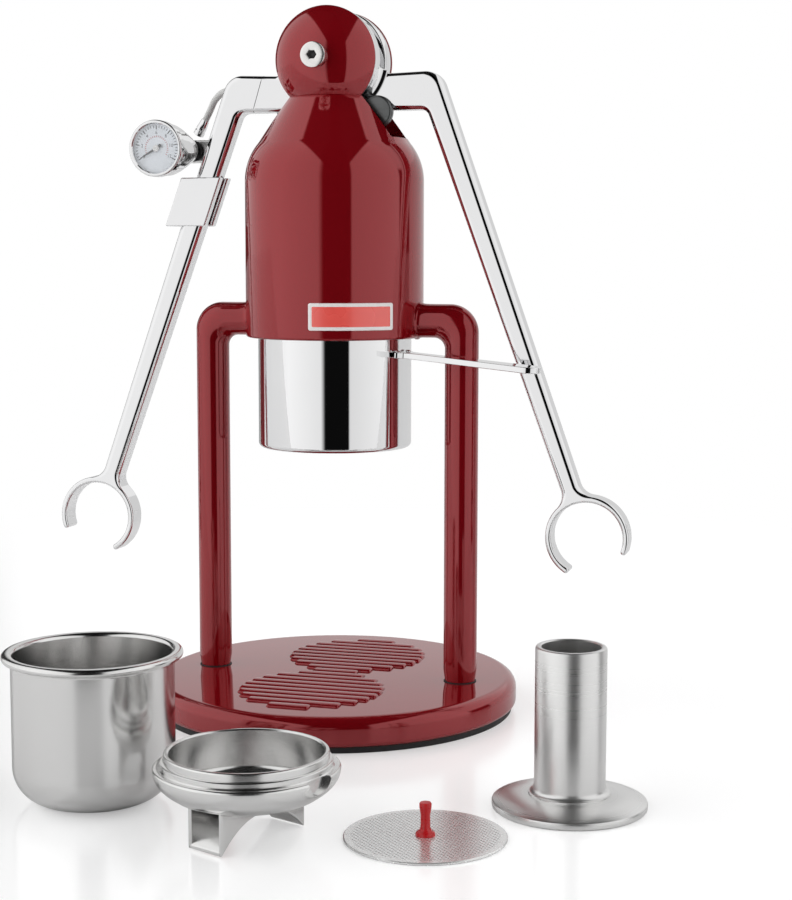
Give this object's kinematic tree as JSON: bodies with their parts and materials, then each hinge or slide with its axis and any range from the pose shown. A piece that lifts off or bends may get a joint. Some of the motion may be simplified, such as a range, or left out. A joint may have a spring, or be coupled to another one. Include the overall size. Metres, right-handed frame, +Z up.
{
  "type": "manual espresso maker",
  "caption": "Manual lever espresso press on a round base with two legs, swinging chrome arms, a piston, a pressure gauge and loose brewing parts beside it.",
  "frame": {"origin": "centre of the base, on the table", "axes": "+Z up, -Y to the front, arms along X"},
  "size_m": [0.2922, 0.2992, 0.311],
  "materials": {
    "paint": "gloss",
    "chrome": "polished",
    "steel": "brushed",
    "rubber": "matt",
    "grip_red": "gloss",
    "plate_red": "gloss",
    "plate_white": "gloss",
    "dial": "matt",
    "needle": "satin",
    "lens": "clear",
    "bronze": "satin",
    "seal": "matt"
  },
  "bodies": {
    "frame": {"base_plate": "paint", "base_mat": "rubber", "grille_ribs": "paint", "left_leg": "paint", "right_leg": "paint", "leg_gaskets": "rubber", "leg_bolts": "steel", "body_shell": "paint", "name_plate": "plate_red", "name_plate_border": "plate_white", "rod_guide": "steel", "rod_bush": "bronze", "axle": "steel", "axle_cap": "chrome", "axle_nut": "chrome"},
    "sleeve": {"group_sleeve": "chrome", "handle_strip": "chrome", "handle_rivets": "chrome"},
    "right_arm": {"right_arm": "chrome", "right_crank_pin": "steel"},
    "left_arm": {"left_arm": "chrome", "left_crank_pin": "steel", "arm_clamp": "chrome", "clamp_screws": "steel", "gauge_block": "steel", "gauge_case": "chrome", "gauge_bezel": "chrome", "gauge_dial": "dial", "gauge_lens": "lens", "stem_oring": "rubber", "gauge_hose": "steel", "hose_ferrules": "chrome"},
    "gauge_needle": {"gauge_needle": "needle"},
    "right_link": {"right_link": "steel"},
    "left_link": {"left_link": "steel"},
    "piston": {"piston_rod": "steel", "cross_pin": "steel", "piston_head": "steel", "piston_seal": "seal"},
    "basket": {"filter_basket": "steel"},
    "portafilter": {"portafilter_bowl": "steel", "portafilter_spout": "steel"},
    "screen": {"dispersion_screen": "steel", "screen_grip": "grip_red"},
    "tamper": {"tamper_plate": "steel", "tamper_tube": "steel"}
  },
  "joints": [
    {"name": "right_arm_lift", "type": "hinge", "parent": "frame", "child": "right_arm", "pos_m": [0, 0, 0.288], "axis": [0, -1, 0], "range_deg": [0, 90]},
    {"name": "left_arm_lift", "type": "hinge", "parent": "frame", "child": "left_arm", "pos_m": [0, 0, 0.288], "axis": [0, 1, 0], "range_deg": [0, 90]},
    {"name": "right_link_pivot", "type": "hinge", "parent": "right_arm", "child": "right_link", "pos_m": [0.01204, 0, 0.27462], "axis": [0, -1, 0], "range_deg": [-90, 0]},
    {"name": "left_link_pivot", "type": "hinge", "parent": "left_arm", "child": "left_link", "pos_m": [-0.01204, 0, 0.27462], "axis": [0, 1, 0], "range_deg": [-90, 0]},
    {"name": "piston_slide", "type": "slide", "parent": "frame", "child": "piston", "axis": [0, 0, 1], "range_m": [0, 0.0245]},
    {"name": "sleeve_turn", "type": "hinge", "parent": "frame", "child": "sleeve", "pos_m": [0, 0, 0.145], "axis": [0, 0, 1], "range_deg": [-50, 0]},
    {"name": "needle_swing", "type": "hinge", "parent": "left_arm", "child": "gauge_needle", "pos_m": [-0.0776, -0.0165, 0.2506], "axis": [0, -1, 0], "range_deg": [-270, 0]},
    {"name": "basket_lift", "type": "slide", "parent": "frame", "child": "basket", "axis": [0, 0, 1], "range_m": [0, 0.15]},
    {"name": "portafilter_lift", "type": "slide", "parent": "frame", "child": "portafilter", "axis": [0, 0, 1], "range_m": [0, 0.15]},
    {"name": "screen_lift", "type": "slide", "parent": "frame", "child": "screen", "axis": [0, 0, 1], "range_m": [0, 0.15]},
    {"name": "tamper_lift", "type": "slide", "parent": "frame", "child": "tamper", "axis": [0, 0, 1], "range_m": [0, 0.15]}
  ],
  "couplings": [
    {"joint": "left_arm_lift", "follows": "right_arm_lift", "ratio": 1},
    {"joint": "right_link_pivot", "follows": "right_arm_lift", "ratio": -1},
    {"joint": "left_link_pivot", "follows": "right_arm_lift", "ratio": -1},
    {"joint": "piston_slide", "follows": "right_arm_lift", "m_per_rad": 0.0155}
  ]
}
